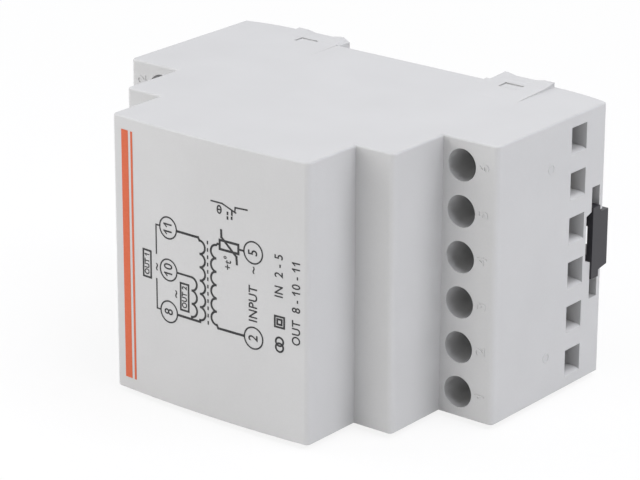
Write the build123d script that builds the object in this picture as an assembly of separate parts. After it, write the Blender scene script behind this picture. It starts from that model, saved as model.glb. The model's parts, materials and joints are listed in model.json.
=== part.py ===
from build123d import *
import os

# DIN rail transformer, three modules wide, in millimetres.
# X runs from one terminal face to the other, Y from the printed nose back to the rail, Z along the rail.
# The origin is the centre of the face that sits on the rail; heights are measured from it towards the nose.

# Case
case_length = 85.0
case_width = 52.5
nose_width = 45.0
nose_height = 58.7
nose_crown = 1.0
shoulder_height = 45.6
terminal_height = 31.3
skirt_depth = 4.0
skirt_sweep = 1.7
skirt_sweep_run = 12.0
wall = 2.0
corner_round = 1.0
edge_round = 0.4
fit = 0.1

# Rail recess
rail_width = 35.0
rail_play = 0.1
rail_flange = 1.0
flange_play = 0.2
seat_edge = 2.4
seat_relief = 0.3
floor_thickness = 2.2
recess_wall = 1.8
hook_overhang = 1.4
hook_length = 24.0
hook_lead_in = 1.2

# Latches that hold the base in the shell, under pads that are lower on the side of the fixed hook
pad_run = 12.6
pad_rise = 0.55
hook_pad_rise = 0.1
pad_length = 12.5
ear_rise = 0.35
ear_run = 5.0
ear_length = 2.2
ear_slope = 2.0
recess_corner_run = 1.35
recess_corner_drop = 0.3
latch_centre = 6.5
latch_length = 4.2
latch_depth = 2.5
latch_recess = 0.15
latch_play = 0.2
beam_thickness = 1.35
beam_slit = 1.2
beam_length = 9.0

# Rail clip
clip_thickness = 2.25
clip_offset = 0.05
clip_running = 0.1
clip_width = 13.9
clip_proud = 0.35
clip_rib_width = 11.3
clip_rib_draft = 0.5
clip_rib_short = 0.15
clip_rib_play = 0.25
clip_overhang = 1.5
clip_travel = 4.0
clip_slot_width = 21.7
clip_arm_width = 1.4
clip_arm_overlap = 0.45
clip_bump_height = 0.9
clip_bump_length = 2.4
clip_crossbar = 2.5
clip_end_bar = 1.2
clip_window_length = 5.0
clip_window_width = 5.6
clip_window_centre = 0.35
clip_stop_play = 0.2
notch_depth = 3.3
notch_rise = 1.6
notch_front_width = 8.7
notch_back_width = 9.8
notch_centre = 1.25

# Screw terminals
terminals_per_side = 6
terminal_edge = 4.8
terminal_inset = 7.6
screw_hole_diameter = 6.0
screw_hole_land = 1.1
ledge_hole_diameter = 5.0
ledge_thickness = 0.8
chamber_side = 7.0
chamber_wall = 2.6
wire_entry_height = 4.8
wire_entry_width = 5.2
wire_entry_neck = 4.3
wire_entry_throat = 4.1
wire_entry_flare = 1.2
contact_thickness = 1.2
contact_width = 4.6
contact_tail = 3.2
contact_seat = 0.4
cage_length = 5.8
cage_width = 6.4
cage_wall = 0.65
cage_floor = 1.2
cage_top = 2.6
cage_play = 0.2
cage_travel = 4.0
screw_diameter = 3.9
screw_running = 0.05
screw_head_diameter = 5.5
screw_head_height = 2.3
screw_head_play = 0.5
screw_slot_width = 0.9
screw_slot_depth = 1.2
screw_cross_length = 3.7

# Core and coil: an EI lamination is set by the width of its outer leg
lamination_leg = 8.0
core_stack = 16.0
bobbin_play = 0.2
bobbin_tube = 1.0
flange_thickness = 1.0
flange_skirt = 1.8
coil_play = 0.3
primary_build = 2.8
tape_build = 0.3
secondary_low_build = 1.3
secondary_high_build = 1.3
turn_round = 1.0
pin_diameter = 0.9
pin_length = 2.0
pin_rail_width = 2.6
pin_rail_length = 6.0
pin_rail_land = 1.4
lead_diameter = 1.2
tap_drop = 7.0
tap_run = 3.2
tap_bend = 2.4
thermistor_diameter = 5.0
thermistor_thickness = 2.4
core_post = 4.0
core_post_gap = 0.5
core_post_inset = 1.0
core_rib = 2.0

# Core-outs in the rear of the base
pocket_rim = 1.5
pocket_floor = 1.7
pocket_web = 1.5

# Which terminals hold metal: number, side of the case, place counted from the lower side wall,
# and what joins the terminal to the coil
TERMINALS = (
    (2, 1, 1, "wire"),
    (5, 1, 4, "thermistor"),
    (8, -1, 1, "wire"),
    (10, -1, 3, "tap"),
    (11, -1, 4, "wire"),
)

# Places worked out from the sizes above
half_length = case_length / 2
half_width = case_width / 2
inner_z = half_width - wall
screw_x = half_length - terminal_inset
shoulder_half = screw_x - screw_hole_diameter / 2 - screw_hole_land
nose_half = nose_width / 2
recess_half = rail_width / 2 + rail_play
seat_half = recess_half - seat_edge
base_front = -floor_thickness
hook_under = rail_flange + flange_play
chamber_inner = screw_x - chamber_side / 2
chamber_outer = screw_x + chamber_side / 2
cavity_half = chamber_inner - chamber_wall
terminal_pitch = (case_width - 2 * terminal_edge) / (terminals_per_side - 1)

# Stations of a terminal along Y, from the base up to the screw head
mouth_rear = base_front - cage_play - cage_floor
contact_rear = mouth_rear - wire_entry_height
contact_front = contact_rear - contact_thickness
contact_y = (contact_rear + contact_front) / 2
cage_roof = contact_front - fit
cage_front = cage_roof - cage_top
head_rear = cage_front - cage_travel - screw_head_play
head_front = head_rear - screw_head_height
ledge_rear = head_front - fit
ledge_front = ledge_rear - ledge_thickness

# Core and coil
core_half_x = 3 * lamination_leg
core_half_z = 2.5 * lamination_leg
yoke_inner = 1.5 * lamination_leg
stack_half = core_stack / 2
flange_half_x = 2 * lamination_leg - coil_play
tube_half = lamination_leg + bobbin_play + bobbin_tube
coil_half = tube_half + primary_build + 2 * tape_build + secondary_low_build + secondary_high_build
flange_half_y = coil_half + stack_half - lamination_leg + flange_skirt
flange_outer = yoke_inner - coil_play
coil_end = flange_outer - flange_thickness
core_y = contact_y - flange_half_y - pin_rail_width / 2 + fit
core_front = core_y - stack_half
core_rear = core_y + stack_half
pin_tip = flange_half_x + pin_length
tail_end = cavity_half - contact_tail

# Clip, at rest with its hook over the rail edge
clip_front = clip_offset - clip_thickness / 2
clip_rear = clip_front + clip_thickness
clip_end = half_length + clip_proud
clip_tip = rail_width / 2 - clip_overhang
channel_start = recess_half + recess_wall
clip_start = channel_start + fit
arm_end = half_length - wall - clip_travel - clip_stop_play
arm_outer = clip_slot_width / 2 + clip_arm_overlap
bump_outer = arm_outer + clip_bump_height
channel_half = bump_outer + clip_stop_play
rib_rear = skirt_depth - clip_rib_short
rib_slot_half = clip_rib_width / 2 + clip_rib_play


def block(x, y, z):
    """A box between two limits on each axis."""
    size = [axis[1] - axis[0] for axis in (x, y, z)]
    middle = [(axis[1] + axis[0]) / 2 for axis in (x, y, z)]
    return Pos(*middle) * Box(*size)


def rod(diameter, x, y, z):
    """A round bar along Y between two limits."""
    return Pos(x, sum(y) / 2, z) * Rot(90, 0, 0) * Cylinder(diameter / 2, y[1] - y[0])


def prism(points, low, high):
    """A closed outline in the XY plane, drawn out along Z."""
    return Pos(0, 0, low) * extrude(make_face(Polyline(*points, close=True)), high - low)


def mirrored(low, high):
    """The same pair of limits on both sides of zero."""
    return (low, high), (-high, -low)


def terminal_z(place):
    return place * terminal_pitch - (terminals_per_side - 1) * terminal_pitch / 2


def every_terminal():
    """The side and the height of each terminal chamber of the case."""
    return [(side, terminal_z(place)) for side in (1, -1) for place in range(terminals_per_side)]


def on_side(side, low, high):
    """Limits along X, mirrored for the terminals of the far side."""
    return (low, high) if side > 0 else (-high, -low)


def case_profile():
    """The stepped outline of the case: crowned nose, two shoulders, swept rear corners and rail recess."""
    sweep_start = half_length - skirt_sweep_run
    corner_y = skirt_depth - skirt_sweep
    sweep_radius = (skirt_sweep_run**2 + skirt_sweep**2) / (2 * skirt_sweep)
    right = [
        (nose_half, -nose_height),
        (nose_half, -shoulder_height),
        (shoulder_half, -shoulder_height),
        (shoulder_half, -terminal_height),
        (half_length, -terminal_height),
        (half_length, corner_y),
    ]
    rear = [(sweep_start, skirt_depth), (recess_half, skirt_depth), (recess_half, 0)]
    left = [(-x, y) for x, y in reversed(right)]
    rear_left = [(-x, y) for x, y in reversed(rear)]
    crown = ThreePointArc(left[-1], (0, -nose_height - nose_crown), right[0])
    sweep_right = RadiusArc(right[-1], rear[0], -sweep_radius)
    sweep_left = RadiusArc(rear_left[-1], left[0], -sweep_radius)
    recess = Polyline(*rear, *rear_left)
    face = make_face([crown, Polyline(*right), sweep_right, recess, sweep_left, Polyline(*left)])
    corners = [Vector(*point) for point in (right[0], right[2], right[4], left[-1], left[-3], left[1])]
    rounded = [v for v in face.vertices() if min((Vector(*v) - corner).length for corner in corners) < fit]
    return fillet(rounded, corner_round)


def case_solid():
    """The outside of the case as one solid, with its long edges softened."""
    solid = Pos(0, 0, -half_width) * extrude(case_profile(), case_width)
    long_edges = [
        edge
        for face in (solid.faces().sort_by(Axis.Z)[0], solid.faces().sort_by(Axis.Z)[-1])
        for edge in face.edges()
        if edge.center().Y < -edge_round
    ]
    return fillet(long_edges, edge_round)


def wall_ramp(run, rise):
    """A ramp on the upper side wall that ends at the rear edge, as long as a latch pad."""
    toe = skirt_depth - run
    outline = [(toe, half_width), (skirt_depth, half_width + rise), (skirt_depth, inner_z), (toe, inner_z)]
    face = make_face(Polyline(*[(recess_half, y, z) for y, z in outline], close=True))
    return extrude(face, amount=pad_length, dir=(1, 0, 0))


def latch_pad(rise):
    """A pad that leads a latch of the base to its window, with an ear at each end of its rear edge."""
    outer = recess_half + pad_length
    middle = half_width + rise
    top = middle + ear_rise
    rear_view = [
        (recess_half, inner_z),
        (recess_half, top),
        (recess_half + ear_length, top),
        (recess_half + ear_length + ear_slope, middle),
        (outer - ear_length - ear_slope, middle),
        (outer - ear_length, top),
        (outer, top),
        (outer, inner_z),
    ]
    ear_face = make_face(Polyline(*[(x, skirt_depth - ear_run, z) for x, z in rear_view], close=True))
    ears = wall_ramp(ear_run, rise + ear_rise) & extrude(ear_face, amount=ear_run, dir=(0, 1, 0))
    return wall_ramp(pad_run, rise) + ears


def recess_corner(rise):
    """The slope at a corner of the rail recess, from the ear of the pad down to the wall of the recess."""
    inner = recess_half - fit
    top = half_width + rise + ear_rise
    start = half_width - recess_corner_drop
    outline = [(recess_half, start), (recess_half + recess_corner_run, top), (inner, top), (inner, start)]
    face = make_face(Polyline(*[(x, 0, z) for x, z in outline], close=True))
    return extrude(face, amount=skirt_depth + fit, dir=(0, 1, 0))


def on_four_corners(feature):
    """A feature beside the rail recess, on the clip side and the hook side of both side walls."""
    upper = [feature(pad_rise), mirror(feature(hook_pad_rise), about=Plane.YZ)]
    return upper + [mirror(one, about=Plane.XY) for one in upper]


def latch_places():
    """Where the latches sit along X, and on which side wall."""
    x = recess_half + latch_centre
    return [(along, side) for along in (x, -x) for side in (1, -1)]


def latch_window(along, side):
    reach = half_width + 2 * pad_rise
    z = (inner_z - fit, reach) if side > 0 else (-reach, -inner_z + fit)
    return block((along - latch_length / 2, along + latch_length / 2), (-latch_depth, 0), z)


def clip_openings():
    """The slot, the gap behind it and the screwdriver notch in the terminal face on the clip side."""
    face = (half_length - wall - fit, half_length + fit)
    slot_y = (clip_front - clip_running, clip_rear + clip_running)
    slot = block(face, slot_y, (-clip_slot_width / 2, clip_slot_width / 2))
    gap = block(face, (slot_y[1] - fit, skirt_depth), (-rib_slot_half, rib_slot_half))
    front = slot_y[0] - notch_rise
    back = slot_y[0] + fit
    outline = [
        (front, notch_centre - notch_front_width / 2),
        (front, notch_centre + notch_front_width / 2),
        (back, notch_centre + notch_back_width / 2),
        (back, notch_centre - notch_back_width / 2),
    ]
    floor = half_length - notch_depth
    notch_face = make_face(Polyline(*[(floor, y, z) for y, z in outline], close=True))
    notch = extrude(notch_face, amount=notch_depth + fit, dir=(1, 0, 0))
    return [slot, gap, notch]


def wire_entry(side, z):
    """One wire entry, which widens a little from its chamber and flares at the terminal face."""
    stations = (chamber_outer - fit, half_length - wire_entry_flare, half_length, half_length + fit)
    widths = (wire_entry_throat, wire_entry_neck, wire_entry_width, wire_entry_width)
    walls = [
        [(side * x, contact_rear, z + up * width / 2) for x, width in zip(stations, widths)] for up in (1, -1)
    ]
    edges = [Line(walls[0][end], walls[1][end]) for end in (0, -1)]
    for throat, neck, mouth, beyond in walls:
        flare = TangentArc(neck, mouth, tangent=Vector(*neck) - Vector(*throat))
        edges += [Line(throat, neck), flare, Line(mouth, beyond)]
    return extrude(make_face(edges), amount=wire_entry_height, dir=(0, 1, 0))


def terminal_openings(side, z):
    """One chamber with its screw hole, captive ledge, wire entry and the slots for its contact bar."""
    hole_front = -terminal_height - fit
    across = (z - chamber_side / 2, z + chamber_side / 2)
    slot = (z - contact_width / 2 - fit, z + contact_width / 2 + fit)
    bar_y = (contact_front, base_front + fit)
    return [
        block(on_side(side, chamber_inner, chamber_outer), (ledge_rear, base_front + fit), across),
        rod(screw_hole_diameter, side * screw_x, (hole_front, ledge_front), z),
        rod(ledge_hole_diameter, side * screw_x, (ledge_front - fit, ledge_rear + fit), z),
        wire_entry(side, z),
        block(on_side(side, cavity_half - fit, chamber_inner + fit), bar_y, slot),
        block(on_side(side, chamber_outer - fit, chamber_outer + contact_seat), bar_y, slot),
    ]


def core_ribs():
    """Four ribs inside the shell that hold the core down on the base."""
    outer = core_half_x - core_rib / 2
    z = core_half_z - core_post_inset
    y = (-shoulder_height + wall - fit, core_front)
    x_limits = mirrored(outer - core_rib, outer)
    z_limits = mirrored(z - core_post, z)
    return [block(x, y, across) for x in x_limits for across in z_limits]


def housing_shell():
    """The grey shell, one moulding open at the rear."""
    solid = case_solid() + on_four_corners(latch_pad)
    z = (-inner_z, inner_z)
    nose_inner = nose_half - wall
    shoulder_inner = shoulder_half - wall
    rear_x = half_length - wall
    nose_roof, shoulder_roof, terminal_roof = [
        wall - height for height in (nose_height, shoulder_height, terminal_height)
    ]
    hollows = [
        block((-nose_inner, nose_inner), (nose_roof, shoulder_roof + fit), z),
        block((-shoulder_inner, shoulder_inner), (shoulder_roof, terminal_roof + fit), z),
        block((-cavity_half, cavity_half), (terminal_roof, base_front + fit), z),
        block((-rear_x, rear_x), (base_front, skirt_depth + fit), z),
    ]
    for side, height in every_terminal():
        hollows += terminal_openings(side, height)
    hollows += [latch_window(*place) for place in latch_places()]
    hollows += clip_openings() + on_four_corners(recess_corner)
    return solid - hollows + core_ribs()


def clip_channel():
    """The T-shaped channel in the base that guides the clip, with the cut under the screwdriver notch."""
    end = half_length
    plate_y = (clip_front - clip_running, clip_rear + clip_running)
    rib_y = (plate_y[1] - fit, skirt_depth + fit)
    notch_y = (base_front - fit, plate_y[0] + fit)
    notch_z = (notch_centre - notch_back_width / 2, notch_centre + notch_back_width / 2)
    return [
        block((channel_start, end), plate_y, (-channel_half, channel_half)),
        block((recess_half - fit, end), rib_y, (-rib_slot_half, rib_slot_half)),
        block((half_length - notch_depth, end), notch_y, notch_z),
    ]


def base_pockets():
    """Core-outs in the rear of the base, clear of the clip, the latches and the rail recess."""
    inner = recess_half + recess_wall
    outer = half_length - wall - fit - pocket_rim
    y = (base_front + pocket_floor, skirt_depth + fit)
    edge = inner_z - fit - beam_thickness - beam_slit - pocket_web
    middle = edge / 3
    beside_clip = channel_half + pocket_web
    pockets = [block((inner, outer), y, z) for z in mirrored(beside_clip, edge)]
    far = [(-middle + pocket_web / 2, middle - pocket_web / 2), *mirrored(middle + pocket_web / 2, edge)]
    return pockets + [block((-outer, -inner), y, z) for z in far]


def latch_beam(along, side):
    """The slit behind one latch, and the latch nub that fills its window."""
    inner = inner_z - fit
    slit_z = (inner - beam_thickness - beam_slit, inner - beam_thickness)
    rise = pad_rise if along > 0 else hook_pad_rise
    nub_rise = rise * (pad_run - skirt_depth - latch_depth / 2) / pad_run
    nub_z = (inner - fit, half_width + nub_rise - latch_recess)
    if side < 0:
        slit_z, nub_z = [(-z[1], -z[0]) for z in (slit_z, nub_z)]
    slit_x = (along - beam_length / 2, along + beam_length / 2)
    nub_half = latch_length / 2 - latch_play
    slit = block(slit_x, (base_front - fit, skirt_depth + fit), slit_z)
    nub = block((along - nub_half, along + nub_half), (base_front, -latch_play), nub_z)
    return slit, nub


def fixed_hook():
    """The lip that hooks under the rail edge on the far side, with a lead-in for the rail."""
    root = -recess_half - fit
    tip = -recess_half + hook_overhang
    outline = [
        (root, hook_under),
        (tip, hook_under),
        (tip, skirt_depth - hook_lead_in),
        (tip - hook_lead_in, skirt_depth),
        (root, skirt_depth),
    ]
    return prism(outline, -hook_length / 2, hook_length / 2)


def base_supports():
    """Posts under the core, and fingers that hold the contact bars in their slots."""
    x = flange_half_x - pin_rail_length - core_post_gap
    z = core_half_z - core_post_inset
    parts = [
        block(across, (core_rear, base_front + fit), up)
        for across in mirrored(x - core_post, x)
        for up in mirrored(z - core_post, z)
    ]
    half = contact_width / 2
    for side, height in every_terminal():
        finger_x = on_side(side, cavity_half + fit, chamber_inner - fit)
        parts.append(block(finger_x, (contact_rear, base_front + fit), (height - half, height + half)))
    return parts


def rear_base():
    """The base that closes the shell, with the rail seat and the clip channel."""
    x = half_length - wall - fit
    z = inner_z - fit
    outside = extrude(case_profile(), case_width, both=True)
    solid = block((-x, x), (base_front, skirt_depth), (-z, z)) & outside
    cuts = clip_channel() + base_pockets()
    cuts += [block(limits, (-seat_relief, fit), (-z, z)) for limits in mirrored(seat_half, recess_half)]
    nubs = []
    for place in latch_places():
        slit, nub = latch_beam(*place)
        cuts.append(slit)
        nubs.append(nub)
    return solid - cuts + nubs + fixed_hook() + base_supports()


def clip_arm(side):
    """One spring arm of the clip with the bump that stops it inside the terminal face."""
    inner = arm_outer - clip_arm_width
    start = arm_end - clip_bump_length
    outline = [
        (clip_start, inner),
        (arm_end, inner),
        (arm_end, bump_outer),
        (start + clip_bump_height, bump_outer),
        (start, arm_outer),
        (clip_start, arm_outer),
    ]
    points = [(x, side * z) for x, z in outline]
    face = make_face(Polyline(*[(x, clip_front, z) for x, z in points], close=True))
    return extrude(face, amount=clip_thickness, dir=(0, 1, 0))


def rail_clip():
    """The black clip: flat stem, rib with the hook, two spring arms and a screwdriver window."""
    y = (clip_front, clip_rear)
    stem = block((clip_start, clip_end), y, (-clip_width / 2, clip_width / 2))
    crossbar = block((clip_start, clip_start + clip_crossbar), y, (-arm_outer, arm_outer))
    wide = clip_rib_width / 2
    drafted = wide - clip_rib_draft
    section = [(clip_rear - fit, wide), (rib_rear, wide), (rib_rear, -drafted), (clip_rear - fit, -wide)]
    rib_face = make_face(Polyline(*[(clip_tip, along, z) for along, z in section], close=True))
    rib = extrude(rib_face, amount=clip_end - clip_tip, dir=(1, 0, 0))
    hook_start = clip_tip + hook_lead_in
    lead_in = [(clip_tip, rib_rear - hook_lead_in), (clip_tip, rib_rear), (hook_start, rib_rear)]
    window_end = clip_end - clip_end_bar
    window = block(
        (window_end - clip_window_length, window_end),
        (clip_front - fit, rib_rear + fit),
        (clip_window_centre - clip_window_width / 2, clip_window_centre + clip_window_width / 2),
    )
    under = block((clip_tip - fit, clip_start), (clip_front, hook_under), (-wide, wide))
    solid = stem + crossbar + rib + clip_arm(1) + clip_arm(-1)
    return solid - prism(lead_in, -wide, wide) - window - under


def contact_bar(side, z):
    """A brass bar that spans the chamber, with a solder tail inside the case."""
    x = on_side(side, tail_end, chamber_outer + contact_seat - fit)
    return block(x, (contact_front, contact_rear), (z - contact_width / 2, z + contact_width / 2))


def clamp_cage(side, z):
    """A rising cage round the contact bar, open towards the wire entry."""
    x = side * screw_x
    outer_x = (x - cage_length / 2, x + cage_length / 2)
    mouth_half = cage_width / 2 - cage_wall
    body = block(outer_x, (cage_front, mouth_rear + cage_floor), (z - cage_width / 2, z + cage_width / 2))
    through = (outer_x[0] - fit, outer_x[1] + fit)
    mouth = block(through, (cage_roof, mouth_rear), (z - mouth_half, z + mouth_half))
    thread = rod(screw_diameter + 2 * screw_running, x, (cage_front - fit, cage_roof + fit), z)
    return body - mouth - thread


def clamp_screw(side, z):
    """A slotted and cross-recessed screw that bears on the contact bar."""
    x = side * screw_x
    head = rod(screw_head_diameter, x, (head_front, head_rear), z)
    shank = rod(screw_diameter, x, (head_rear - fit, contact_front - screw_running), z)
    reach = screw_head_diameter / 2 + fit
    slot_half = screw_slot_width / 2
    cross_half = screw_cross_length / 2
    depth = (head_front - fit, head_front + screw_slot_depth)
    slot = block((x - reach, x + reach), depth, (z - slot_half, z + slot_half))
    cross = block((x - slot_half, x + slot_half), depth, (z - cross_half, z + cross_half))
    return head + shank - slot - cross


def core_e_stack():
    """The E laminations, back at the lower side wall and legs upright."""
    leg = lamination_leg
    y = (core_front, core_rear)
    back = block((-core_half_x, core_half_x), y, (-core_half_z, -yoke_inner))
    leg_limits = ((-leg, leg), *mirrored(core_half_x - leg, core_half_x))
    return back + [block(x, y, (-yoke_inner - fit, yoke_inner)) for x in leg_limits]


def core_i_stack():
    """The I laminations that close the core."""
    return block((-core_half_x, core_half_x), (core_front, core_rear), (yoke_inner, core_half_z))


def ring(inner, outer):
    """A square wound layer round the centre leg, with rounded turns."""
    longer = stack_half - lamination_leg
    skin = RectangleRounded(2 * outer, 2 * (outer + longer), turn_round + outer - tube_half)
    inside = RectangleRounded(2 * inner, 2 * (inner + longer), turn_round + inner - tube_half)
    return Pos(0, core_y, -coil_end) * extrude(skin - inside, 2 * coil_end)


def winding_layers():
    """The layers of the coil from the bobbin outwards."""
    builds = [
        ("primary_winding", primary_build),
        ("insulation_tape", tape_build),
        ("secondary_low", secondary_low_build),
        ("secondary_high", secondary_high_build),
        ("outer_tape", tape_build),
    ]
    layers = {}
    inner = tube_half
    for name, build in builds:
        layers[name] = ring(inner, inner + build)
        inner += build
    return layers


def pin_places():
    """The side and height of each soldering pin: one for every terminal that isn't the tap."""
    return [(side, terminal_z(place)) for number, side, place, link in TERMINALS if link != "tap"]


def coil_bobbin():
    """The bobbin: tube, two flanges and a rail for each soldering pin."""
    longer = stack_half - lamination_leg
    hole_half = lamination_leg + bobbin_play
    tube = RectangleRounded(2 * tube_half, 2 * (tube_half + longer), turn_round)
    solid = Pos(0, core_y, -flange_outer) * extrude(tube, 2 * flange_outer)
    rail_y = (core_y + flange_half_y - fit, core_y + flange_half_y - fit + pin_rail_width)
    flange = (core_y - flange_half_y, core_y + flange_half_y)
    for z in mirrored(coil_end, flange_outer):
        solid += block((-flange_half_x, flange_half_x), flange, z)
    for side, height in pin_places():
        inward = coil_end if height > 0 else -coil_end
        outward = height + pin_rail_land if height > 0 else height - pin_rail_land
        x = on_side(side, flange_half_x - pin_rail_length, flange_half_x)
        solid += block(x, rail_y, (min(inward, outward), max(inward, outward)))
    hole = Box(2 * hole_half, 2 * (hole_half + longer), 2 * flange_outer + 2 * fit)
    return solid - Pos(0, core_y, 0) * hole


def bobbin_pins():
    """The tinned pins that stand out of the bobbin rails towards the terminals."""
    pin = Rot(0, 90, 0) * Cylinder(pin_diameter / 2, pin_length)
    middle = (flange_half_x + pin_tip) / 2
    return Compound([Pos(side * middle, contact_y, z) * pin for side, z in pin_places()])


def straight_lead(side, z):
    """An insulated wire from a bobbin pin to the tail of its contact bar."""
    wire = Rot(0, 90, 0) * Cylinder(lead_diameter / 2, tail_end - pin_tip)
    return Pos(side * (tail_end + pin_tip) / 2, contact_y, z) * wire


def tap_lead(side, z):
    """The wire of the secondary tap, straight out of the winding and up to its contact bar."""
    start_y = contact_y - tap_drop
    route = [
        (side * coil_half, start_y, z),
        (side * (coil_half + tap_run), start_y, z),
        (side * (tail_end - tap_run), contact_y, z),
        (side * tail_end, contact_y, z),
    ]
    path = FilletPolyline(*route, radius=tap_bend)
    return sweep(Plane(path @ 0, z_dir=path % 0) * Circle(lead_diameter / 2), path=path)


def ptc_thermistor(side, z):
    """A coated disc on two short legs, in series with one end of the primary."""
    middle = side * (tail_end + pin_tip) / 2
    disc = Cylinder(thermistor_diameter / 2, thermistor_thickness)
    legs = Cylinder(pin_diameter / 2, tail_end - pin_tip)
    return Pos(middle, contact_y, z) * Rot(0, 90, 0) * (disc + legs)


def build():
    """Every piece of the transformer under its own name."""
    pieces = {
        "housing_shell": housing_shell(),
        "rear_base": rear_base(),
        "rail_clip": rail_clip(),
        "core_e_stack": core_e_stack(),
        "core_i_stack": core_i_stack(),
        "coil_bobbin": coil_bobbin(),
        "bobbin_pins": bobbin_pins(),
        **winding_layers(),
    }
    for number, side, place, link in TERMINALS:
        z = terminal_z(place)
        pieces[f"contact_{number}"] = contact_bar(side, z)
        pieces[f"cage_{number}"] = clamp_cage(side, z)
        pieces[f"screw_{number}"] = clamp_screw(side, z)
        if link == "thermistor":
            pieces["ptc_thermistor"] = ptc_thermistor(side, z)
        elif link == "tap":
            pieces[f"lead_{number}"] = tap_lead(side, z)
        else:
            pieces[f"lead_{number}"] = straight_lead(side, z)
    return pieces


os.makedirs("parts", exist_ok=True)
for node, piece in build().items():
    export_step(piece, f"parts/{node}.step")
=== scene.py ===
import json
import math
import bmesh
import bpy
from mathutils import Matrix, Vector


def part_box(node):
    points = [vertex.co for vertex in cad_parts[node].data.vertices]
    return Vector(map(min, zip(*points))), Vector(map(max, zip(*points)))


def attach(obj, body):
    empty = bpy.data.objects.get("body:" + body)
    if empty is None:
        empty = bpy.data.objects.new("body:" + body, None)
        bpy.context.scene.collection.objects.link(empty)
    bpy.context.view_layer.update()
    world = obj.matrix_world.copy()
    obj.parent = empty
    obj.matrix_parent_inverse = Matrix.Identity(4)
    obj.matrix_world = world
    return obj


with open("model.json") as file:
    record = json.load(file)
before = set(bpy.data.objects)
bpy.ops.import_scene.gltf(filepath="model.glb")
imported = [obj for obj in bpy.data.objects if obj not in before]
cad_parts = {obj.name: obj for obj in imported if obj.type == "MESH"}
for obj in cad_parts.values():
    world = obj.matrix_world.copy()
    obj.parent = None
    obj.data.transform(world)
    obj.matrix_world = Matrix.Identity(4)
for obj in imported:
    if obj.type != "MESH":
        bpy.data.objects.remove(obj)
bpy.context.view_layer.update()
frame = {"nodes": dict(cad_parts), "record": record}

# A DIN rail transformer: its finishes, the printing on its nose, the raised numbers beside its
# screws and the rings that the mould left on a terminal face.
# Sizes are millimetres unless a name says otherwise; Blender works in metres.
MM = 0.001
QUARTER_TURN = math.pi / 2

# Camera, with its angles in degrees
VIEW_AZIMUTH = 38.458
VIEW_ELEVATION = 20.093
VIEW_ROLL = 0.19
VIEW_DISTANCE = 555.31
VIEW_AIM = (3.078, -31.056, 0.122)
LENS = 170.5
SENSOR = 36.0
SIGHT_NEAR = 5.5531
SIGHT_FAR = 12000.0

# Studio: the sky's strength and the soft boxes
SKY_STRENGTH = 0.12
PURE_WHITE = (1.0, 1.0, 1.0, 1.0)
COOL_WHITE = (0.98, 0.985, 1.03)
WARM_WHITE = (1.02, 1.005, 0.97)
SOFT_BOX_SIZE = 500.0
SOFT_BOXES = {
    "left_box": {"place": (-583.0, -244.0, 360.0), "watts": 2.3, "colour": COOL_WHITE},
    "front_box": {"place": (-177.0, -703.0, 186.0), "watts": 2.2, "colour": WARM_WHITE},
    "side_box": {"place": (675.0, 149.0, 186.0), "watts": 1.43, "colour": COOL_WHITE},
    "top_box": {"place": (307.0, -31.0, 653.0), "watts": 3.1, "colour": COOL_WHITE},
    "rear_box": {"place": (3.0, 329.0, 624.0), "watts": 1.4, "colour": COOL_WHITE},
}

# Floor: near the case this share of its white is its own light, and far from the case all of it is
FLOOR_SIZE = 6000.0
FLOOR_COLOUR = (0.92, 0.92, 0.92, 1.0)
FLOOR_GLOW = 0.85
FLOOR_NEAR = 90.0
FLOOR_FAR = 420.0

# Raised numbers on the shoulders: size, place from the screw hole, and the first on each side,
# where 1 is the side of the clip and -1 the far side
NUMBER_HEIGHT = 2.15
NUMBER_STRETCH = 1.2
NUMBER_WEIGHT = 0.0
NUMBER_RELIEF = 0.15
NUMBER_FROM_HOLE = 4.8
NUMBER_RAISE = 0.35
FIRST_NUMBERS = {1: 1, -1: 7}
TERMINALS_PER_SIDE = 6

# Rings left by the mould on the terminal face beside the clip
MOULD_RING_RADIUS = 0.85
MOULD_RING_LINE = 0.35
MOULD_RING_RELIEF = 0.10
MOULD_RING_CORNERS = 40
MOULD_RING_FROM_RAIL = 14.6
MOULD_RING_HEIGHTS = {"upper": 17.9, "lower": -18.3}

# Edges of what is raised: their rounding, its steps, and the length below which an edge is dropped
RELIEF_EDGE = 0.04
RELIEF_STEPS = 2
RELIEF_MERGE = 0.001

# Printing: its gap from the nose, its thickness, the spans that let it follow the crown, and how
# far in front of the nose its sheet starts
INK_GAP = 0.012
INK_THICKNESS = 0.03
INK_SPAN = 2.5
INK_SPANS_EACH_WAY = 8
INK_START = 1.0

# Strokes: the widths of the lines, the slab in which strokes are united, the angle and the length
# below which a corner or an edge is dropped, and how far up a face of the slab's top points
THIN_LINE = 0.28
LINE = 0.36
BOLD_LINE = 0.44
RING_CORNERS = 56
SLAB = 1.0
FLAT_ANGLE = 0.01
STROKE_MERGE = 0.01
FACES_UP = 0.5

# Lettering: a capital's share of the font's size, how much bolder, narrower and wider spaced the
# letters are than the font, the steps of their curves, and the distance at which points are merged
CAPITAL_SHARE = 0.72
INK_WEIGHT = 0.025
LETTER_STRETCH = 0.88
LETTER_SPACING = 1.06
LETTER_STEPS = 6
LETTER_MERGE = 0.02

# The font draws a figure 1 as a plain bar, known by how narrow it is. The drop and the reach of its
# flag are shares of its height, and the rest are shares of its bar or of the flag's own line
NARROW_SHARE = 0.45
FLAG_DROP = 0.26
FLAG_REACH = 0.22
FLAG_LINE = 0.8
FLAG_SINK = 0.8
FLAG_SIDE = 0.35

# Wiring diagram: its rows and its terminal rings, across and up from the middle of the nose
DIAGRAM_MIDDLE = -0.40
ROW_PITCH = 8.0
OUTPUT_RAISE = 0.17
OUTPUT_RINGS_X = -8.8
INPUT_RINGS_X = 10.8
RING_RADIUS = 2.02
RING_NUMBER_HEIGHT = 2.05

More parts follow.
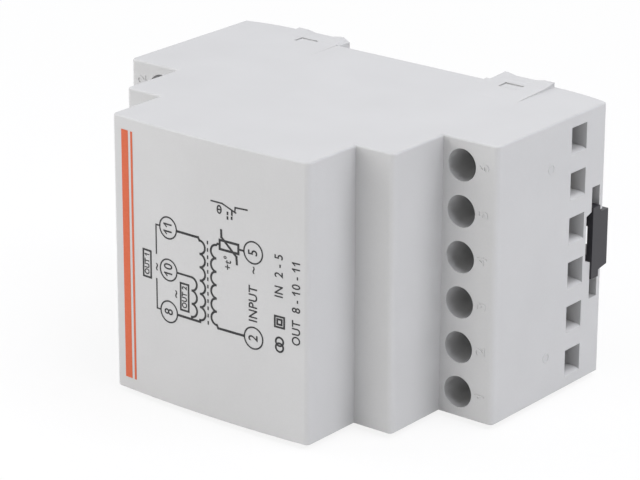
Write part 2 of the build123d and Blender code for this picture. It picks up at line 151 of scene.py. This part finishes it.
# Coils, which bulge to the right or the left, and the core line between them
RIGHTWARDS = 1
LEFTWARDS = -1
TURN_RADIUS = 1.26
COIL_LINE = 0.41
COIL_DROP = 0.41
COIL_TURNS = 6
TAP_TURNS = 3
SECONDARY_X = -1.34
TAP_X = -3.31
PRIMARY_X = 2.56
CORE_X = 0.54
CORE_TOP_DROP = 0.2
CORE_END_DROP = 0.75
CORE_DASHES = 12
CORE_DASH_SHARE = 0.5

# Leads: how far below its row each one leaves its ring, and the jog where it meets its coil
UPPER_LEAD_DROP = 0.1
LOWER_LEAD_DROP = 0.05
COIL_JOG = 0.3

# Thermistor, with its slanting line and its sign measured up and down from its lead
THERMISTOR_X = 5.45
THERMISTOR_WIDTH = 4.2
THERMISTOR_HEIGHT = 1.7
THERMISTOR_SLANT = ((3.7, 2.7), (3.75, 1.45), (7.1, -1.5), (7.2, -2.8))
HEAT_SIGN = "+t°"
HEAT_SIGN_X = 5.2
HEAT_SIGN_DROP = 3.1
HEAT_SIGN_HEIGHT = 1.6

# Bracket over the whole output, open where the sign of alternating current stands
BRACKET_X = -11.75
BRACKET_GAP_ABOVE = 2.5
BRACKET_GAP_BELOW = 2.4

# Boxed names of the two outputs
TAGS = {"OUT 1": (-14.1, -0.25), "OUT 2": (-4.98, -4.5)}
TAG_WIDTH = 1.9
TAG_LENGTH = 5.1
TAG_HEIGHT = 1.14
TAG_WEIGHT = 0.035

# Words: text, place across and up, and the height of a capital
WORDS = (
    ("~", BRACKET_X, -0.3, 2.0),
    ("~", -7.1, -4.4, 2.0),
    ("INPUT   ~", INPUT_RINGS_X, -0.2, 1.9),
    ("IN  2 - 5", 16.4, 4.5, 1.8),
    ("OUT  8 - 10 - 11", 20.05, 0.2, 1.75),
)

# Double square of double insulation, and two linked rings for a transformer
SIGNS_X = 16.45
INSULATION_Z = -4.05
INSULATION_SIDES = (2.0, 0.95)
LINKED_RINGS_Z = (-7.75, -8.85)
LINKED_RING_RADIUS = 0.8

# Cut-out: a contact that opens with heat, and the letter theta beside it
CUT_OUT_BLADE = ((1.5, 15.25), (3.95, 15.25), (7.0, 14.15))
CUT_OUT_HOOK = ((6.8, 14.25), (6.9, 15.1), (9.5, 15.2))
CUT_OUT_LINK = ((6.15, 14.3), (6.15, 13.9))
CUT_OUT_DASHES = ((5.17, 13.68), (5.17, 12.82), (6.15, 13.75), (6.1, 12.98))
CUT_OUT_DASH = 0.26
THETA_PLACE = (3.3, 14.0)
THETA_RADIUS = 0.69
THETA_NARROW = 0.68
THETA_BAR = ((3.1, 14.0), (3.5, 14.0))

# Stripes along the edge of the nose: place across, reach up and down, and width
STRIPES = ((-19.3, 23.0, 1.7), (-17.6, 23.6, 0.5))


class Wire:
    """An output of a node. Sums on it add Math nodes to the same tree."""

    def __init__(self, tree, socket):
        self.tree = tree
        self.socket = socket

    def maths(self, operation, first, second):
        return self.tree.node("ShaderNodeMath", {"operation": operation}, {0: first, 1: second})

    def __add__(self, other):
        return self.maths("ADD", self, other)

    def __radd__(self, other):
        return self.maths("ADD", other, self)

    def __sub__(self, other):
        return self.maths("SUBTRACT", self, other)

    def __rsub__(self, other):
        return self.maths("SUBTRACT", other, self)

    def __mul__(self, other):
        return self.maths("MULTIPLY", self, other)

    def __rmul__(self, other):
        return self.maths("MULTIPLY", other, self)

    def __truediv__(self, other):
        return self.maths("DIVIDE", self, other)

    def __mod__(self, other):
        return self.maths("FLOORED_MODULO", self, other)

    def above(self, limit):
        return self.maths("GREATER_THAN", self, limit)

    def mixed_with(self, other, share):
        """A sum in which the other value has this share."""
        return self * (1 - share) + other * share


class Tree:
    """A node tree, and the one way to add a node to it."""

    def __init__(self, node_tree):
        self.nodes = node_tree.nodes
        self.links = node_tree.links

    def node(self, kind, settings=None, sockets=None, output=0):
        made = self.nodes.new(kind)
        for name, value in (settings or {}).items():
            if name == "stops":
                self.set_stops(made.color_ramp.elements, value)
            else:
                setattr(made, name, value)
        for name, value in (sockets or {}).items():
            self.feed(made.inputs[name], value)
        return Wire(self, made.outputs[output])

    def set_stops(self, elements, stops):
        for element, (position, colour) in zip(elements, stops):
            element.position = position
            element.color = (*colour, 1.0)

    def feed(self, socket, value):
        if isinstance(value, Wire):
            self.links.new(value.socket, socket)
        else:
            socket.default_value = value


class Finish(Tree):
    """A material with one Principled shader, shaded from the piece's own coordinates."""

    def __init__(self, name, constants):
        self.name = name
        self.material = bpy.data.materials.new(name)
        self.material.use_nodes = True
        super().__init__(self.material.node_tree)
        self.shader = self.nodes["Principled BSDF"]
        self.place = self.node("ShaderNodeTexCoord", output="Object")
        for socket, value in constants.items():
            self.set(socket, value)

    def set(self, socket, value):
        self.feed(self.shader.inputs[socket], value)

    def noise(self, size, detail=2.0, roughness=0.5, stretch=(1.0, 1.0, 1.0)):
        """Cloudy noise from 0 to 1 with features of about this many millimetres."""
        where = self.node("ShaderNodeMapping", {}, {"Vector": self.place, "Scale": stretch})
        sockets = {
            "Vector": where,
            "Scale": 1 / (size * MM),
            "Detail": detail,
            "Roughness": roughness,
        }
        return self.node("ShaderNodeTexNoise", {}, sockets)

    def axis(self, letter):
        return self.node("ShaderNodeSeparateXYZ", {}, {"Vector": self.place}, letter)

    def own_tone(self, count):
        """A random tone for each whole number that a count passes."""
        number = self.node("ShaderNodeMath", {"operation": "FLOOR"}, {0: count})
        return self.node("ShaderNodeTexWhiteNoise", {"noise_dimensions": "1D"}, {"W": number})

    def paint(self, tone, dark, light):
        """Colours the surface between two stops, each a tone and its colour."""
        ramp = self.node("ShaderNodeValToRGB", {"stops": (dark, light)}, {"Fac": tone}, "Color")
        self.set("Base Color", ramp)

    def roughen(self, tone, low, high):
        """Carries a tone from 0 to 1 over to a roughness from low to high."""
        self.set("Roughness", tone * (high - low) + low)

    def bump(self, height, depth):
        """Raises the surface by up to this many millimetres where the height is 1."""
        sockets = {"Height": height, "Distance": depth * MM, "Strength": 1.0}
        self.set("Normal", self.node("ShaderNodeBump", {}, sockets, "Normal"))


def shade(colour, factor):
    return tuple(part * factor for part in colour)


def mixed(first, second, share):
    return tuple(a * (1 - share) + b * share for a, b in zip(first, second))


def moulded_plastic(name, colour, rough, grain, depth):
    """Injection-moulded plastic from a spark-eroded tool: an even tone with a fine grain."""
    finish = Finish(name, {"Specular IOR Level": 0.4})
    cloud = finish.noise(size=14.0, detail=3.0)
    speck = finish.noise(size=grain, roughness=0.6)
    tone = cloud.mixed_with(speck, share=0.4)
    finish.paint(tone, dark=(0.3, shade(colour, 0.97)), light=(0.7, shade(colour, 1.03)))
    finish.roughen(speck, low=rough - 0.06, high=rough + 0.08)
    finish.bump(speck, depth)
    return finish


def lamination_steel(name, colour, sheet, joint_share, joint_dark):
    """A stack of varnished sheets: each sheet has its own tone, with a dark joint between."""
    finish = Finish(name, {"Metallic": 1.0})
    sheets = finish.axis("Y") / (sheet * MM)
    joint = (sheets % 1.0).above(1 - joint_share)
    stain = finish.noise(size=3.0, detail=4.0, roughness=0.7)
    tone = finish.own_tone(sheets).mixed_with(stain, share=0.65) * (1 - joint * joint_dark)
    finish.paint(tone, dark=(0.1, shade(colour, 0.25)), light=(0.7, colour))
    finish.roughen(stain, low=0.38, high=0.62)
    finish.bump(1 - joint, depth=0.05)
    return finish


def wound_wire(name, colour, wire):
    """Enamelled wire laid side by side along the coil, with a round crest on each turn and painted
    shade in the groove between turns.
    """
    finish = Finish(name, {"Metallic": 1.0, "Coat Weight": 0.6, "Coat Roughness": 0.12})
    turns = finish.axis("Z") / (wire * MM)
    off_crest = (turns % 1.0) * 2 - 1
    crest_and_groove_shade = 1 - off_crest * off_crest
    own = finish.own_tone(turns)
    # The colour darkens from each crest towards the groove between turns, as painted shade, mixed
    # with each turn's own random tone
    tone = crest_and_groove_shade.mixed_with(own, share=0.4)
    finish.paint(tone, dark=(0.05, shade(colour, 0.3)), light=(0.8, colour))
    finish.roughen(own, low=0.22, high=0.36)
    finish.bump(crest_and_groove_shade, depth=wire / 2)
    return finish


def polyester_tape(name, colour):
    """Thin glossy film with the ripples of hand winding."""
    finish = Finish(name, {"Coat Weight": 0.5, "Coat Roughness": 0.1})
    ripple = finish.noise(size=2.2, stretch=(1.0, 1.0, 0.25))
    finish.paint(ripple, dark=(0.25, shade(colour, 0.72)), light=(0.75, colour))
    finish.roughen(ripple, low=0.22, high=0.4)
    finish.bump(ripple, depth=0.05)
    return finish


def worked_metal(name, colour, rough, grain, stretch):
    """Plated or drawn metal with fine marks along one direction and a faint bloom."""
    finish = Finish(name, {"Metallic": 1.0})
    marks = finish.noise(size=grain, detail=4.0, roughness=0.7, stretch=stretch)
    bloom = finish.noise(size=1.6, detail=3.0)
    tone = marks.mixed_with(bloom, share=0.5)
    finish.paint(tone, dark=(0.25, shade(colour, 0.78)), light=(0.7, colour))
    finish.roughen(bloom, low=rough - 0.08, high=rough + 0.12)
    finish.bump(marks, depth=0.008)
    return finish


def dipped_coat(name, colour, rough):
    """A resin or vinyl skin with soft unevenness."""
    finish = Finish(name, {"Coat Weight": 0.25, "Coat Roughness": 0.2})
    cloud = finish.noise(size=0.9, detail=3.0)
    finish.paint(cloud, dark=(0.3, shade(colour, 0.82)), light=(0.7, colour))
    finish.roughen(cloud, low=rough - 0.08, high=rough + 0.1)
    finish.bump(cloud, depth=0.02)
    return finish


def printing_ink(name, colour, plastic):
    """Pad-printed ink: dense, slightly uneven, with the plastic showing through where thin."""
    finish = Finish(name, {"Specular IOR Level": 0.35})
    cover = finish.noise(size=0.5, detail=3.0, roughness=0.6)
    thin = mixed(colour, plastic, share=0.06)
    finish.paint(cover, dark=(0.2, shade(colour, 0.92)), light=(0.85, thin))
    finish.roughen(cover, low=0.42, high=0.6)
    finish.bump(finish.noise(size=0.3, roughness=0.6), depth=0.008)
    return finish


CASE_GREY = (0.570, 0.570, 0.570)
ALONG_BAR = (0.08, 1.0, 1.0)
ALONG_ROD = (1.0, 0.3, 1.0)
FINISHES = {
    finish.name: finish.material
    for finish in (
        moulded_plastic("case_plastic", CASE_GREY, rough=0.55, grain=0.35, depth=0.010),
        moulded_plastic("clip_plastic", (0.028, 0.027, 0.032), rough=0.42, grain=0.3, depth=0.012),
        moulded_plastic("bobbin_plastic", (0.035, 0.035, 0.037), rough=0.5, grain=0.4, depth=0.010),
        lamination_steel(
            "core_steel", (0.42, 0.43, 0.46), sheet=0.5, joint_share=0.12, joint_dark=0.8
        ),
        wound_wire("copper_wire", (0.72, 0.30, 0.14), wire=0.36),
        polyester_tape("tape", (0.80, 0.60, 0.08)),
        worked_metal("contact_brass", (0.80, 0.62, 0.30), rough=0.3, grain=0.12, stretch=ALONG_BAR),
        worked_metal("plated_steel", (0.74, 0.76, 0.80), rough=0.3, grain=0.14, stretch=ALONG_ROD),
        dipped_coat("thermistor_coat", (0.72, 0.36, 0.05), rough=0.38),
        dipped_coat("lead_sleeve", (0.50, 0.03, 0.025), rough=0.45),
        printing_ink("print_black", (0.010, 0.010, 0.012), CASE_GREY),
        printing_ink("print_orange", (0.64, 0.112, 0.033), CASE_GREY),
    )
}


def finish_cad_nodes():
    for row in frame["record"]["subparts"]:
        node = frame["nodes"][row["node"]]
        node.material_slots[0].material = FINISHES[row["material_slot"]]


def mount(name):
    return next(row for row in frame["record"]["mounts"] if row["name"] == name)


# Places taken from the model: the screw holes of terminals 5 and 2, and the shell
UPPER_HOLE = mount("screw_access_5")
LOWER_HOLE = mount("screw_access_2")
HOLE_STEPS = 5 - 2
HOLE_X = UPPER_HOLE["pos_m"][0] / MM
SHOULDER_Y = UPPER_HOLE["pos_m"][1] / MM - UPPER_HOLE["dims"]["length_mm"] / 2
TERMINAL_PITCH = (UPPER_HOLE["pos_m"][2] - LOWER_HOLE["pos_m"][2]) / HOLE_STEPS / MM
SHELL_LOW, SHELL_HIGH = (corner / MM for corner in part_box("housing_shell"))
FACE_X = SHELL_HIGH.x
FLOOR_Z = SHELL_LOW.z
NOSE_Y = SHELL_LOW.y

# Turns that stand a flat drawing up, to face the nose side or the side of the clip
NOSE_SIDE = (QUARTER_TURN, 0, 0)
CLIP_SIDE = (0, QUARTER_TURN, 0)


# Handling of pieces


def pick(piece):
    """Selects one piece and nothing else."""
    bpy.ops.object.select_all(action="DESELECT")
    piece.select_set(True)
    bpy.context.view_layer.objects.active = piece


def edit(piece):
    """Opens one piece in edit mode with all of it selected."""
    pick(piece)
    bpy.ops.object.mode_set(mode="EDIT")
    bpy.ops.mesh.select_mode(type="FACE")
    bpy.ops.mesh.select_all(action="SELECT")


def close_edit():
    bpy.ops.object.mode_set(mode="OBJECT")
    return bpy.context.object


def settle(piece):
    """Puts a piece's place into its mesh."""
    pick(piece)
    bpy.ops.object.transform_apply(location=True, rotation=True, scale=True)
    return piece


def modified(piece, kind, **settings):
    """Adds a modifier and applies it."""
    pick(piece)
    modifier = piece.modifiers.new(kind.title(), kind)
    for name, value in settings.items():
        setattr(modifier, name, value)
    bpy.ops.object.modifier_apply(modifier=modifier.name)


def joined(name, parts):
    bpy.ops.object.select_all(action="DESELECT")
    for part in parts:
        part.select_set(True)
    bpy.context.view_layer.objects.active = parts[0]
    if len(parts) > 1:
        bpy.ops.object.join()
    piece = bpy.context.object
    piece.name = name
    piece.data.name = name
    return piece


def placed(piece, where, turn):
    """Takes a flat drawing from millimetres to metres, turned and at its place on the case."""
    piece.scale = (MM, MM, MM)
    piece.rotation_euler = turn
    piece.location = [part * MM for part in where]
    return settle(piece)


def kept(piece, slot):
    """Gives a finished piece its finish and lets it ride on the case."""
    piece.data.materials.clear()
    piece.data.materials.append(FINISHES[slot])
    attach(piece, "case")


# Flat drawing, on a sheet with X across and Y up, one unit to the millimetre


def hollowed(piece, line):
    """Leaves the border of a flat shape, as wide as a line."""
    edit(piece)
    bpy.ops.mesh.inset(thickness=line, use_even_offset=True)
    bpy.ops.mesh.delete(type="FACE")
    return close_edit()


def drawn_ring(x, y, radius, line, corners=RING_CORNERS, narrow=1.0):
    """A ring, or an oval that is narrower across than it is high."""
    bpy.ops.object.select_all(action="DESELECT")
    bpy.ops.mesh.primitive_circle_add(
        vertices=corners, radius=radius + line / 2, fill_type="NGON", location=(x, y, 0)
    )
    piece = bpy.context.object
    piece.scale.x = narrow
    return hollowed(settle(piece), line)


def drawn_turn(x, y, side):
    """Half a ring, bulging to one side: one turn of a coil."""
    edit(drawn_ring(x, y, TURN_RADIUS, COIL_LINE))
    bpy.ops.mesh.bisect(plane_co=(x, y, 0), plane_no=(side, 0, 0), clear_inner=True)
    return close_edit()


def drawn_block(x, y, width, height, angle=0.0):
    """A filled rectangle about its middle."""
    bpy.ops.object.select_all(action="DESELECT")
    bpy.ops.mesh.primitive_plane_add(size=1.0, location=(x, y, 0))
    piece = bpy.context.object
    piece.scale = (width, height, 1.0)
    piece.rotation_euler.z = angle
    return settle(piece)


def drawn_line(start, end, line):
    """A straight stroke with square ends, which reach half its width beyond its two points."""
    run = Vector(end) - Vector(start)
    middle = (Vector(start) + Vector(end)) / 2
    return drawn_block(*middle, run.length + line, line, math.atan2(run.y, run.x))


def drawn_path(points, line):
    return [drawn_line(a, b, line) for a, b in zip(points, points[1:])]


def drawn_frame(x, y, width, height, line):
    """The outline of a rectangle."""
    return hollowed(drawn_block(x, y, width + line, height + line), line)


def drawn_words(text, x, y, height, weight=INK_WEIGHT, stretch=LETTER_STRETCH):
    """Words that read upwards, cut from a slab, with their middle at this place.

    The height is that of a capital.
    """
    bpy.ops.object.select_all(action="DESELECT")
    bpy.ops.object.text_add(location=(x, y, 0), rotation=(0, 0, QUARTER_TURN))
    piece = bpy.context.object
    piece.scale.x = stretch
    piece.data.body = text
    piece.data.size = height / CAPITAL_SHARE
    piece.data.offset = weight
    piece.data.space_character = LETTER_SPACING
    piece.data.extrude = SLAB / 2
    piece.data.resolution_u = LETTER_STEPS
    piece.data.align_x = "CENTER"
    piece.data.align_y = "CENTER"
    bpy.ops.object.convert(target="MESH")
    piece = settle(bpy.context.object)
    edit(piece)
    bpy.ops.mesh.remove_doubles(threshold=LETTER_MERGE)
    close_edit()
    return flagged(piece, height) if "1" in text else [piece]


def flagged(piece, height):
    """Takes words apart into letters and gives each figure 1 the flag at its top."""
    pick(piece)
    bpy.ops.mesh.separate(type="LOOSE")
    letters = list(bpy.context.selected_objects)
    flags = []
    for letter in letters:
        across = [point.co.x for point in letter.data.vertices]
        up = [point.co.y for point in letter.data.vertices]
        bar = max(up) - min(up)
        if bar < NARROW_SHARE * (max(across) - min(across)):
            line = bar * FLAG_LINE
            tip = Vector((min(across) + line * FLAG_SINK, min(up) + bar * FLAG_SIDE))
            flags.append(drawn_line(tip, tip + Vector((FLAG_DROP, -FLAG_REACH)) * height, line))
    return letters + flags


def united(name, parts):
    """Unites strokes that overlap into one flat sheet, by way of slabs."""
    for part in parts:
        if part.dimensions.z == 0:
            modified(part, "SOLIDIFY", thickness=SLAB, offset=0.0)
    piece = joined(name, parts[:1])
    if len(parts) > 1:
        others = joined("strokes", parts[1:])
        modified(
            piece, "BOOLEAN", operation="UNION", solver="EXACT", use_self=True, object=others
        )
        bpy.data.objects.remove(others)
    piece.location.z = -SLAB / 2
    edit(settle(piece))
    for face in bmesh.from_edit_mesh(piece.data).faces:
        face.select_set(face.normal.z < FACES_UP)
    bpy.ops.mesh.delete(type="FACE")
    bpy.ops.mesh.select_all(action="SELECT")
    bpy.ops.mesh.dissolve_limited(angle_limit=FLAT_ANGLE)
    bpy.ops.mesh.dissolve_degenerate(threshold=STROKE_MERGE)
    bpy.ops.mesh.delete_loose()
    return close_edit()


# Printing


def printed(name, parts, slot="print_black"):
    """Lays a drawing on the crowned nose, in spans that can follow it, as thick as ink."""
    piece = united(name, parts)
    edit(piece)
    for span in range(-INK_SPANS_EACH_WAY, INK_SPANS_EACH_WAY + 1):
        bpy.ops.mesh.select_all(action="SELECT")
        bpy.ops.mesh.bisect(plane_co=(span * INK_SPAN, 0, 0), plane_no=(1, 0, 0))
    placed(close_edit(), (0, NOSE_Y - INK_START, 0), NOSE_SIDE)
    modified(
        piece, "SHRINKWRAP", target=frame["nodes"]["housing_shell"], wrap_method="PROJECT",
        wrap_mode="ABOVE_SURFACE", use_project_y=True, use_positive_direction=True,
        use_negative_direction=False, offset=INK_GAP * MM,
    )
    modified(piece, "SOLIDIFY", thickness=INK_THICKNESS * MM, offset=1.0)
    kept(piece, slot)


def row_height(row):
    """Rows of the diagram count upwards from its middle."""
    return DIAGRAM_MIDDLE + row * ROW_PITCH


def output_row(row):
    """The rows of the output side stand a little higher."""
    return row_height(row) + OUTPUT_RAISE


def coil_ends():
    """The heights at which the two long coils start and end."""
    top = row_height(1) - COIL_DROP
    return top, top - 2 * TURN_RADIUS * COIL_TURNS


def coil(x, top, turns, side):
    """Turns stacked downwards from this height."""
    heights = [top - TURN_RADIUS * (2 * turn + 1) for turn in range(turns)]
    return [drawn_turn(x, height, side) for height in heights]


def print_coils():
    top = coil_ends()[0]
    secondary = coil(SECONDARY_X, top, COIL_TURNS, RIGHTWARDS)
    tap = coil(TAP_X, output_row(0), TAP_TURNS, RIGHTWARDS)
    primary = coil(PRIMARY_X, top, COIL_TURNS, LEFTWARDS)
    printed("print_coils", secondary + tap + primary)


def print_core_line():
    top = row_height(1) - CORE_TOP_DROP
    bottom = row_height(-1) - CORE_END_DROP
    pitch = (top - bottom) / CORE_DASHES
    dash = pitch * CORE_DASH_SHARE - THIN_LINE
    starts = [top - pitch * number for number in range(CORE_DASHES)]
    parts = [drawn_line((CORE_X, z), (CORE_X, z - dash), THIN_LINE) for z in starts]
    printed("print_core_line", parts)


def print_terminals():
    """A ring with its number for each terminal in use."""
    places = {
        "11": (OUTPUT_RINGS_X, output_row(1)),
        "10": (OUTPUT_RINGS_X, output_row(0)),
        "8": (OUTPUT_RINGS_X, output_row(-1)),
        "5": (INPUT_RINGS_X, row_height(1)),
        "2": (INPUT_RINGS_X, row_height(-1)),
    }
    rings = [drawn_ring(x, z, RING_RADIUS, THIN_LINE) for x, z in places.values()]
    printed("print_terminal_rings", rings)
    numbers = []
    for text, (x, z) in places.items():
        numbers += drawn_words(text, x, z, RING_NUMBER_HEIGHT)
    printed("print_terminal_numbers", numbers)


def print_leads():
    """Lines from the rings to the coils."""
    reach = RING_RADIUS + LINE / 2
    start = OUTPUT_RINGS_X + reach
    end = INPUT_RINGS_X - reach
    top, bottom = coil_ends()
    tap_end = output_row(0) - 2 * TURN_RADIUS * TAP_TURNS
    upper = output_row(1) - UPPER_LEAD_DROP
    middle = output_row(0)
    lower = output_row(-1) - LOWER_LEAD_DROP
    mains = row_height(-1) - LOWER_LEAD_DROP
    from_upper = [(start, upper), (SECONDARY_X - COIL_JOG, upper), (SECONDARY_X, top)]
    from_lower = [(start, lower), (SECONDARY_X, lower), (SECONDARY_X, bottom)]
    to_mains = [(PRIMARY_X, bottom), (PRIMARY_X + COIL_JOG, mains), (end, mains)]
    parts = [
        *drawn_path(from_upper, BOLD_LINE),
        drawn_line((start, middle), (TAP_X, middle), LINE),
        drawn_line((TAP_X, tap_end), (TAP_X, lower), COIL_LINE),
        *drawn_path(from_lower, BOLD_LINE),
        *drawn_path(to_mains, BOLD_LINE),
    ]
    printed("print_leads", parts)


def print_thermistor():
    """The overload element in series with the primary."""
    z = row_height(1) - UPPER_LEAD_DROP
    reach = THERMISTOR_WIDTH / 2 + LINE
    ring_edge = INPUT_RINGS_X - RING_RADIUS - LINE / 2
    from_coil = [
        (PRIMARY_X, coil_ends()[0]),
        (PRIMARY_X + COIL_JOG, z),
        (THERMISTOR_X - reach, z),
    ]
    slant = [(x, z + rise) for x, rise in THERMISTOR_SLANT]
    parts = [
        drawn_frame(THERMISTOR_X, z, THERMISTOR_WIDTH, THERMISTOR_HEIGHT, BOLD_LINE),
        *drawn_path(from_coil, LINE),
        drawn_line((THERMISTOR_X + reach, z), (ring_edge, z), LINE),
        *drawn_path(slant, BOLD_LINE),
        *drawn_words(HEAT_SIGN, HEAT_SIGN_X, z - HEAT_SIGN_DROP, HEAT_SIGN_HEIGHT),
    ]
    printed("print_thermistor", parts)


def print_bracket():
    """The line that spans the whole output."""
    near = OUTPUT_RINGS_X - RING_RADIUS - THIN_LINE / 2
    top, middle, bottom = output_row(1), output_row(0), output_row(-1)
    upper = [(near, top), (BRACKET_X, top), (BRACKET_X, middle + BRACKET_GAP_ABOVE)]
    lower = [(BRACKET_X, middle - BRACKET_GAP_BELOW), (BRACKET_X, bottom), (near, bottom)]
    printed("print_bracket", drawn_path(upper, THIN_LINE) + drawn_path(lower, THIN_LINE))


def print_tags():
    parts = []
    for text, (x, z) in TAGS.items():
        parts.append(drawn_frame(x, z, TAG_WIDTH, TAG_LENGTH, LINE))
        parts += drawn_words(text, x, z, TAG_HEIGHT, TAG_WEIGHT)
    printed("print_tags", parts)


def print_words():
    parts = []
    for text, x, z, height in WORDS:
        parts += drawn_words(text, x, z, height)
    printed("print_words", parts)


def print_symbols():
    squares = [drawn_frame(SIGNS_X, INSULATION_Z, side, side, LINE) for side in INSULATION_SIDES]
    rings = [drawn_ring(SIGNS_X, z, LINKED_RING_RADIUS, LINE) for z in LINKED_RINGS_Z]
    printed("print_symbols", squares + rings)


def print_cut_out():
    parts = [
        *drawn_path(CUT_OUT_BLADE, THIN_LINE),
        *drawn_path(CUT_OUT_HOOK, THIN_LINE),
        drawn_ring(*THETA_PLACE, THETA_RADIUS, THIN_LINE, narrow=THETA_NARROW),
        drawn_line(*THETA_BAR, THIN_LINE),
        drawn_line(*CUT_OUT_LINK, LINE),
    ]
    for x, z in CUT_OUT_DASHES:
        parts.append(drawn_line((x, z + CUT_OUT_DASH / 2), (x, z - CUT_OUT_DASH / 2), LINE))
    printed("print_cut_out", parts)


def print_stripes():
    parts = [drawn_line((x, reach), (x, -reach), width) for x, reach, width in STRIPES]
    printed("print_stripes", parts, "print_orange")


# Raised numbers and rings


def in_relief(name, parts, height):
    """Makes a flat drawing a soft-edged relief that stands up from just below its own sheet."""
    piece = united(name, parts)
    piece.location.z = -RELIEF_EDGE
    settle(piece)
    modified(piece, "SOLIDIFY", thickness=height + RELIEF_EDGE, offset=1.0)
    modified(piece, "BEVEL", width=RELIEF_EDGE, segments=RELIEF_STEPS, limit_method="ANGLE")
    edit(piece)
    bpy.ops.mesh.dissolve_degenerate(threshold=RELIEF_MERGE)
    return close_edit()


def raise_numbers():
    """Terminal numbers, counted upwards on each side."""
    middle = (TERMINALS_PER_SIDE - 1) / 2
    for side, first in FIRST_NUMBERS.items():
        for place in range(TERMINALS_PER_SIDE):
            text = str(first + place)
            x = side * (HOLE_X + NUMBER_FROM_HOLE)
            z = (place - middle) * TERMINAL_PITCH + NUMBER_RAISE
            letters = drawn_words(text, x, z, NUMBER_HEIGHT, NUMBER_WEIGHT, NUMBER_STRETCH)
            piece = in_relief(f"number_{text}", letters, NUMBER_RELIEF)
            kept(placed(piece, (0, SHOULDER_Y, 0), NOSE_SIDE), "case_plastic")


def raise_mould_rings():
    for word, z in MOULD_RING_HEIGHTS.items():
        ring = drawn_ring(0, 0, MOULD_RING_RADIUS, MOULD_RING_LINE, corners=MOULD_RING_CORNERS)
        piece = in_relief(f"mould_ring_{word}", [ring], MOULD_RING_RELIEF)
        kept(placed(piece, (FACE_X, -MOULD_RING_FROM_RAIL, z), CLIP_SIDE), "case_plastic")


# Sky, floor, lamps and camera


def seen_directly(tree):
    """1 for rays that show the stage, straight or in a reflection, and 0 for those that light."""
    straight, mirrored, through = (
        tree.node("ShaderNodeLightPath", output=name)
        for name in ("Is Camera Ray", "Is Glossy Ray", "Is Transmission Ray")
    )
    shown = straight + mirrored + through
    return tree.node("ShaderNodeMath", {"operation": "MINIMUM"}, {0: shown, 1: 1.0})


def make_sky():
    world = bpy.data.worlds.new("studio_sky")
    world.use_nodes = True
    bpy.context.scene.world = world
    tree = Tree(world.node_tree)
    sky = tree.nodes["Background"]
    sky.inputs["Color"].default_value = PURE_WHITE
    tree.feed(sky.inputs["Strength"], seen_directly(tree) * (1.0 - SKY_STRENGTH) + SKY_STRENGTH)


def make_floor():
    bpy.ops.object.select_all(action="DESELECT")
    bpy.ops.mesh.primitive_plane_add(size=FLOOR_SIZE * MM, location=(0, 0, FLOOR_Z * MM))
    floor = bpy.context.object
    floor.name = "studio_floor"
    material = bpy.data.materials.new("studio_white")
    material.use_nodes = True
    tree = Tree(material.node_tree)
    shader = tree.nodes["Principled BSDF"]
    shader.inputs["Base Color"].default_value = FLOOR_COLOUR
    shader.inputs["Roughness"].default_value = 1.0
    shader.inputs["Specular IOR Level"].default_value = 0.0
    matt = Wire(tree, shader.outputs[0])
    glow = tree.node("ShaderNodeEmission", {}, {"Color": PURE_WHITE, "Strength": 1.0})
    place = tree.node("ShaderNodeTexCoord", output="Object")
    away = tree.node("ShaderNodeVectorMath", {"operation": "LENGTH"}, {0: place}, "Value")
    sockets = {
        "Value": away,
        "From Min": FLOOR_NEAR * MM,
        "From Max": FLOOR_FAR * MM,
        "To Min": FLOOR_GLOW,
        "To Max": 1.0,
    }
    share = tree.node("ShaderNodeMapRange", {"interpolation_type": "SMOOTHSTEP"}, sockets, "Result")
    own_light = seen_directly(tree) * share
    surface = tree.node("ShaderNodeMixShader", {}, {0: own_light, 1: matt, 2: glow})
    tree.feed(tree.nodes["Material Output"].inputs["Surface"], surface)
    floor.data.materials.append(material)


def make_soft_box(name, place, watts, colour):
    """A square lamp that looks at the middle of the case."""
    data = bpy.data.lights.new(name, "AREA")
    data.shape = "SQUARE"
    data.size = SOFT_BOX_SIZE * MM
    data.energy = watts
    data.color = colour
    lamp = bpy.data.objects.new(name, data)
    lamp.location = Vector(place) * MM
    towards = Vector(VIEW_AIM) * MM - lamp.location
    lamp.rotation_euler = towards.to_track_quat("-Z", "Y").to_euler()
    bpy.context.scene.collection.objects.link(lamp)


def make_camera():
    angles = (VIEW_AZIMUTH, VIEW_ELEVATION, VIEW_ROLL)
    azimuth, elevation, roll = (math.radians(angle) for angle in angles)
    level = math.cos(elevation)
    back = Vector((math.sin(azimuth) * level, -math.cos(azimuth) * level, math.sin(elevation)))
    right = Vector((math.cos(azimuth), math.sin(azimuth), 0.0))
    up = back.cross(right)
    rolled_right = right * math.cos(roll) + up * math.sin(roll)
    rolled_up = up * math.cos(roll) - right * math.sin(roll)
    data = bpy.data.cameras.new("camera")
    data.lens = LENS
    data.sensor_width = SENSOR
    data.clip_start = SIGHT_NEAR * MM
    data.clip_end = SIGHT_FAR * MM
    camera = bpy.data.objects.new("camera", data)
    turn = Matrix((rolled_right, rolled_up, back)).transposed().to_4x4()
    camera.matrix_world = Matrix.Translation((Vector(VIEW_AIM) + back * VIEW_DISTANCE) * MM) @ turn
    bpy.context.scene.collection.objects.link(camera)
    bpy.context.scene.camera = camera


finish_cad_nodes()
print_coils()
print_core_line()
print_terminals()
print_leads()
print_thermistor()
print_bracket()
print_tags()
print_words()
print_symbols()
print_cut_out()
print_stripes()
raise_numbers()
raise_mould_rings()

make_sky()
make_floor()
for box_name, box in SOFT_BOXES.items():
    make_soft_box(box_name, **box)
make_camera()
bpy.context.scene.view_settings.view_transform = "Standard"
